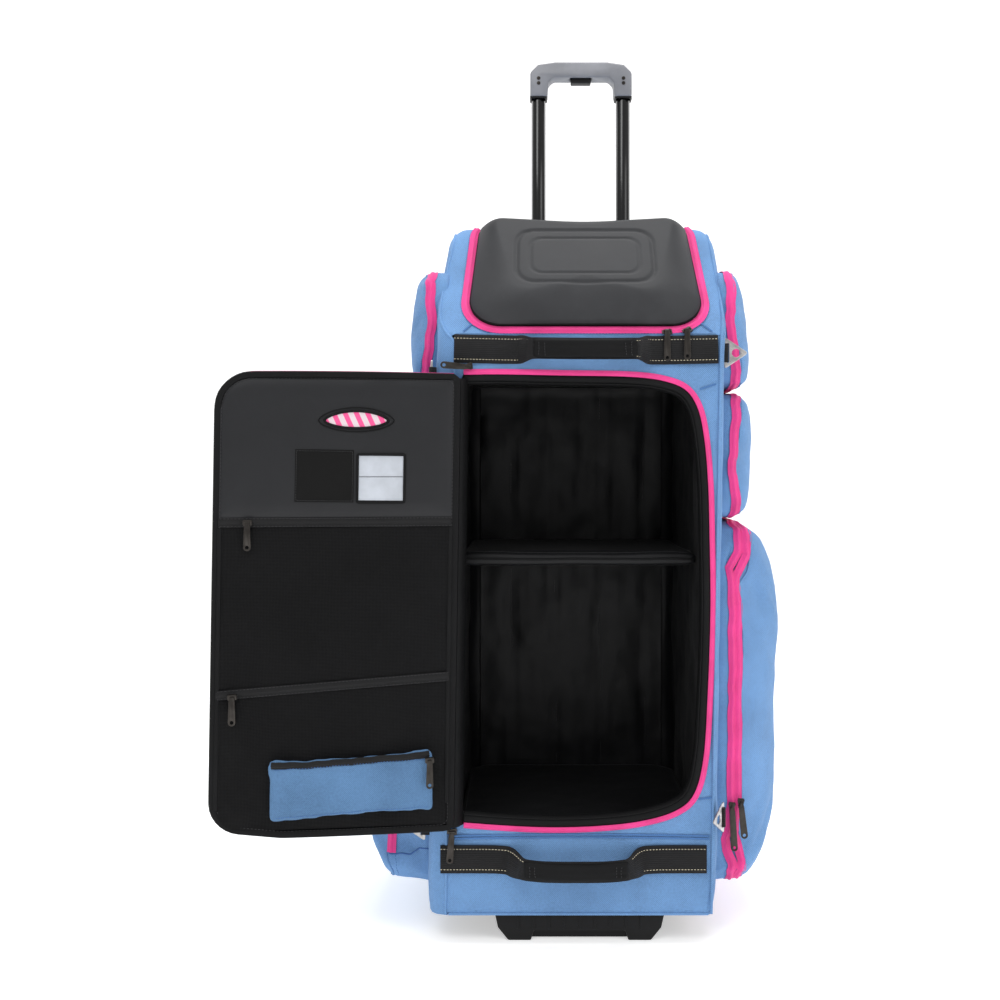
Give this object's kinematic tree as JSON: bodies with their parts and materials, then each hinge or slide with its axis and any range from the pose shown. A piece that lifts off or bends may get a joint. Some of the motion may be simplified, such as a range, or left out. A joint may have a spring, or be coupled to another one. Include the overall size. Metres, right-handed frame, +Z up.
{
  "type": "rolling bowling bag",
  "caption": "Tall upright wheeled kit bag with an open padded front door, domed top lid, zipped side pockets and an extended pull handle.",
  "frame": {"origin": "on the floor, at the middle of the front foot bar's flat underside", "axes": "+X to the bag's right as seen from the front, +Y from the front to the back, +Z up"},
  "size_m": [0.7281, 0.429, 1.222],
  "materials": {
    "blue_canvas": "woven polyester canvas, matt",
    "black_lining": "smooth woven lining, faint sheen",
    "black_webbing": "ribbed webbing with pale stitching",
    "pink_zip": "coil zip on woven tape, semi-matt",
    "lid_moulding": "moulded foam with a fine fabric face",
    "door_padding": "smooth coated padding, soft sheen",
    "black_mesh": "fine knitted mesh",
    "white_card": "clear film over a blank card",
    "black_plastic": "moulded, fine grain",
    "grip_plastic": "moulded, satin",
    "black_tube": "black gloss anodised tube",
    "tyre_rubber": "matt rubber",
    "steel": "bright plated steel",
    "gunmetal": "dark plated zip hardware"
  },
  "bodies": {
    "bag": {"front_frame": "blue_canvas", "left_side_panel": "blue_canvas", "right_side_panel": "blue_canvas", "back_panel": "blue_canvas", "bottom_panel": "blue_canvas", "top_hood": "blue_canvas", "main_lining": "black_lining", "floor_pad": "black_lining", "divider_shelf": "black_lining", "top_pocket_bulkhead": "black_lining", "lid_zip": "pink_zip", "left_upper_pocket": "blue_canvas", "left_middle_pocket": "blue_canvas", "left_lower_pocket": "blue_canvas", "right_upper_pocket": "blue_canvas", "right_middle_pocket": "blue_canvas", "right_lower_pocket": "blue_canvas", "upper_grab_handle": "black_webbing", "lower_grab_handle": "black_webbing", "door_zip": "pink_zip", "left_outer_tube": "black_tube", "right_outer_tube": "black_tube", "handle_bezel": "black_plastic", "tube_foot_bracket": "black_plastic", "front_foot_bar": "black_plastic", "left_wheel_housing": "black_plastic", "right_wheel_housing": "black_plastic", "left_axle": "steel", "right_axle": "steel"},
    "door": {"door_panel": "black_lining", "door_upper_pad": "door_padding", "upper_mesh_pocket": "black_mesh", "lower_mesh_pocket": "black_mesh", "pencil_pouch": "blue_canvas", "name_card": "white_card"},
    "lid": {"top_lid": "lid_moulding"},
    "handle": {"left_inner_tube": "black_tube", "right_inner_tube": "black_tube", "trolley_grip": "grip_plastic"},
    "button": {"grip_button": "black_plastic"},
    "left_wheel": {"left_tyre": "tyre_rubber", "left_wheel_hub": "black_plastic"},
    "right_wheel": {"right_tyre": "tyre_rubber", "right_wheel_hub": "black_plastic"},
    "right_upper_ring": {"right_upper_ring": "steel"},
    "right_lower_ring": {"right_lower_ring": "steel"},
    "left_upper_ring": {"left_upper_ring": "steel"},
    "left_lower_ring": {"left_lower_ring": "steel"},
    "upper_pocket_slider": {"upper_pocket_slider": "gunmetal"},
    "upper_pocket_pull": {"upper_pocket_pull": "gunmetal"},
    "lower_pocket_slider": {"lower_pocket_slider": "gunmetal"},
    "lower_pocket_pull": {"lower_pocket_pull": "gunmetal"},
    "pouch_slider": {"pouch_slider": "gunmetal"},
    "pouch_pull": {"pouch_pull": "gunmetal"},
    "lid_left_pull": {"lid_left_pull": "gunmetal"},
    "lid_right_pull": {"lid_right_pull": "gunmetal"},
    "main_lower_pull": {"main_lower_pull": "gunmetal"},
    "main_upper_pull": {"main_upper_pull": "gunmetal"},
    "pocket_left_pull": {"pocket_left_pull": "gunmetal"},
    "pocket_right_pull": {"pocket_right_pull": "gunmetal"}
  },
  "joints": [
    {"name": "door_hinge", "type": "hinge", "parent": "bag", "child": "door", "pos_m": [-0.156, -0.0394, 0.429], "axis": [0, 0, 1], "range_deg": [-6, 173.4]},
    {"name": "lid_hinge", "type": "hinge", "parent": "bag", "child": "lid", "pos_m": [0.008, 0.07699, 0.91953], "axis": [-1, 0, 0], "range_deg": [0, 110]},
    {"name": "handle_slide", "type": "slide", "parent": "bag", "child": "handle", "axis": [0, 0, 1], "range_m": [-0.229, 0]},
    {"name": "button_press", "type": "slide", "parent": "handle", "child": "button", "axis": [0, 0, 1], "range_m": [0, 0.004], "stiffness_N_per_m": 300, "springref_m": -0.002},
    {"name": "left_wheel_spin", "type": "hinge", "parent": "bag", "child": "left_wheel", "pos_m": [-0.1375, 0.3025, 0.04], "axis": [1, 0, 0], "continuous": true},
    {"name": "right_wheel_spin", "type": "hinge", "parent": "bag", "child": "right_wheel", "pos_m": [0.1375, 0.3025, 0.04], "axis": [1, 0, 0], "continuous": true},
    {"name": "right_upper_ring_swing", "type": "hinge", "parent": "bag", "child": "right_upper_ring", "pos_m": [0.184, -0.018, 0.74], "axis": [0, 0, 1], "range_deg": [-85, 45]},
    {"name": "right_lower_ring_swing", "type": "hinge", "parent": "bag", "child": "right_lower_ring", "pos_m": [0.178, -0.0335, 0.16], "axis": [0, 0, 1], "range_deg": [-25, 150]},
    {"name": "left_upper_ring_swing", "type": "hinge", "parent": "bag", "child": "left_upper_ring", "pos_m": [-0.186, -0.022, 0.712], "axis": [0, 0, 1], "range_deg": [-8, 95]},
    {"name": "left_lower_ring_swing", "type": "hinge", "parent": "bag", "child": "left_lower_ring", "pos_m": [-0.1967, -0.012, 0.143], "axis": [0, 0, 1], "range_deg": [-35, 30]},
    {"name": "upper_pocket_slider_slide", "type": "slide", "parent": "door", "child": "upper_pocket_slider", "axis": [-0.9934, -0.1149, 0], "range_m": [-0.228, 0.036]},
    {"name": "upper_pocket_pull_swing", "type": "hinge", "parent": "upper_pocket_slider", "child": "upper_pocket_pull", "pos_m": [-0.40262, -0.08303, 0.529], "axis": [-0.9934, -0.1149, 0], "range_deg": [0, 150]},
    {"name": "lower_pocket_slider_slide", "type": "slide", "parent": "door", "child": "lower_pocket_slider", "axis": [-0.9914, -0.1147, -0.063], "range_m": [-0.243, 0.018]},
    {"name": "lower_pocket_pull_swing", "type": "hinge", "parent": "lower_pocket_slider", "child": "lower_pocket_pull", "pos_m": [-0.4205, -0.0851, 0.319], "axis": [-0.9934, -0.1149, 0], "range_deg": [0, 150]},
    {"name": "pouch_slider_slide", "type": "slide", "parent": "door", "child": "pouch_slider", "axis": [-0.992, -0.1148, -0.0523], "range_m": [-0.004, 0.176]},
    {"name": "pouch_pull_swing", "type": "hinge", "parent": "pouch_slider", "child": "pouch_pull", "pos_m": [-0.18433, -0.06865, 0.239], "axis": [-0.9934, -0.1149, 0], "range_deg": [0, 150]},
    {"name": "lid_left_pull_swing", "type": "hinge", "parent": "bag", "child": "lid_left_pull", "pos_m": [0.1085, -0.0352, 0.766], "axis": [-1, 0, 0], "range_deg": [0, 120]},
    {"name": "lid_right_pull_swing", "type": "hinge", "parent": "bag", "child": "lid_right_pull", "pos_m": [0.1335, -0.0352, 0.768], "axis": [-1, 0, 0], "range_deg": [0, 120]},
    {"name": "main_lower_pull_swing", "type": "hinge", "parent": "bag", "child": "main_lower_pull", "pos_m": [-0.16, -0.0352, 0.14], "axis": [-1, 0, 0], "range_deg": [0, 80]},
    {"name": "main_upper_pull_swing", "type": "hinge", "parent": "bag", "child": "main_upper_pull", "pos_m": [-0.14, -0.0394, 0.7205], "axis": [0, 1, 0], "range_deg": [0, 100]},
    {"name": "pocket_left_pull_swing", "type": "hinge", "parent": "bag", "child": "pocket_left_pull", "pos_m": [0.197, 0.0064, 0.158], "axis": [-1, 0, 0], "range_deg": [0, 120]},
    {"name": "pocket_right_pull_swing", "type": "hinge", "parent": "bag", "child": "pocket_right_pull", "pos_m": [0.2085, 0.0064, 0.163], "axis": [-1, 0, 0], "range_deg": [0, 120]}
  ]
}
